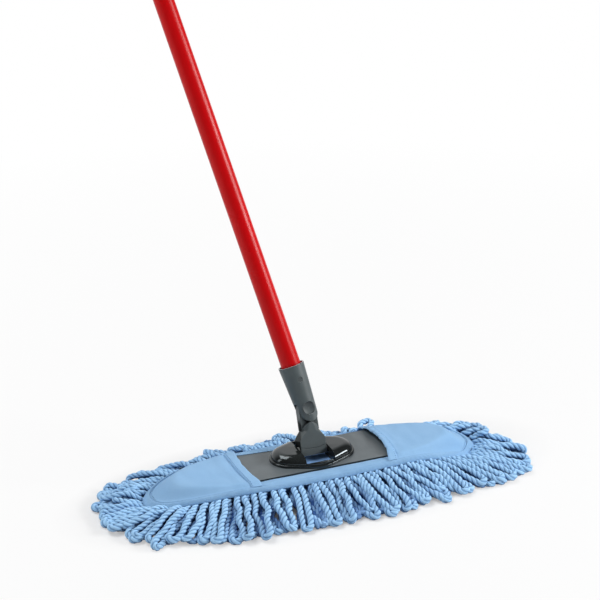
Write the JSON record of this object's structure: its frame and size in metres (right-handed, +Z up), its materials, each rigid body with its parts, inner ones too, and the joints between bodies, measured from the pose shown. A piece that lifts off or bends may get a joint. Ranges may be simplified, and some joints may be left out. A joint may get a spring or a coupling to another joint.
{
  "type": "dust mop",
  "caption": "Flat dust mop: a looped-yarn pad pocketed over a plate, with a two-axis swivel under a dome that carries a straight tube handle with a hanging cap.",
  "frame": {"origin": "on the floor, under the middle of the mop pad", "axes": "+X along the pad to the right, +Y to the back where the handle leans, +Z up"},
  "size_m": [0.5137, 0.5587, 1.2164],
  "materials": {
    "red_paint": "gloss",
    "grey_plastic": "satin",
    "dome_plastic": "gloss",
    "plate_grey": "satin",
    "steel": "satin",
    "pale_nylon": "matte",
    "blue_cloth": "matte",
    "blue_yarn": "matte"
  },
  "bodies": {
    "base": {"tilt_axle": "steel", "tilt_washers": "pale_nylon", "left_saddle": "dome_plastic", "right_saddle": "dome_plastic", "dome_cover": "dome_plastic", "dome_screws": "steel", "frame_plate": "plate_grey", "backing_cloth": "blue_cloth", "left_pocket": "blue_cloth", "right_pocket": "blue_cloth", "left_hem": "blue_cloth", "right_hem": "blue_cloth", "front_border": "blue_cloth", "back_border": "blue_cloth", "edge_binding": "blue_cloth", "nap_pad": "blue_yarn", "fringe_front": "blue_yarn", "fringe_back": "blue_yarn", "fringe_left": "blue_yarn", "fringe_right": "blue_yarn"},
    "knuckle": {"knuckle": "grey_plastic"},
    "handle": {"handle_socket": "grey_plastic", "swing_pin": "grey_plastic", "pin_cap": "grey_plastic", "handle_tube": "red_paint", "button_carrier": "pale_nylon", "button_spring": "steel", "hanger_cap": "grey_plastic"},
    "button": {"snap_button": "steel"}
  },
  "joints": [
    {"name": "handle_tilt", "type": "hinge", "parent": "base", "child": "knuckle", "pos_m": [0, 0, 0.038], "axis": [1, 0, 0], "range_deg": [-48, 90]},
    {"name": "handle_swing", "type": "hinge", "parent": "knuckle", "child": "handle", "pos_m": [0, 0.01684, 0.08188], "axis": [0, 0.9336, -0.3584], "range_deg": [-58.3, 81.7]},
    {"name": "button_press", "type": "slide", "parent": "handle", "child": "button", "axis": [0, 0.9336, -0.3584], "range_m": [0, 0.0024], "stiffness_N_per_m": 2000, "springref_m": -0.002, "deforming": ["button_spring"]}
  ]
}
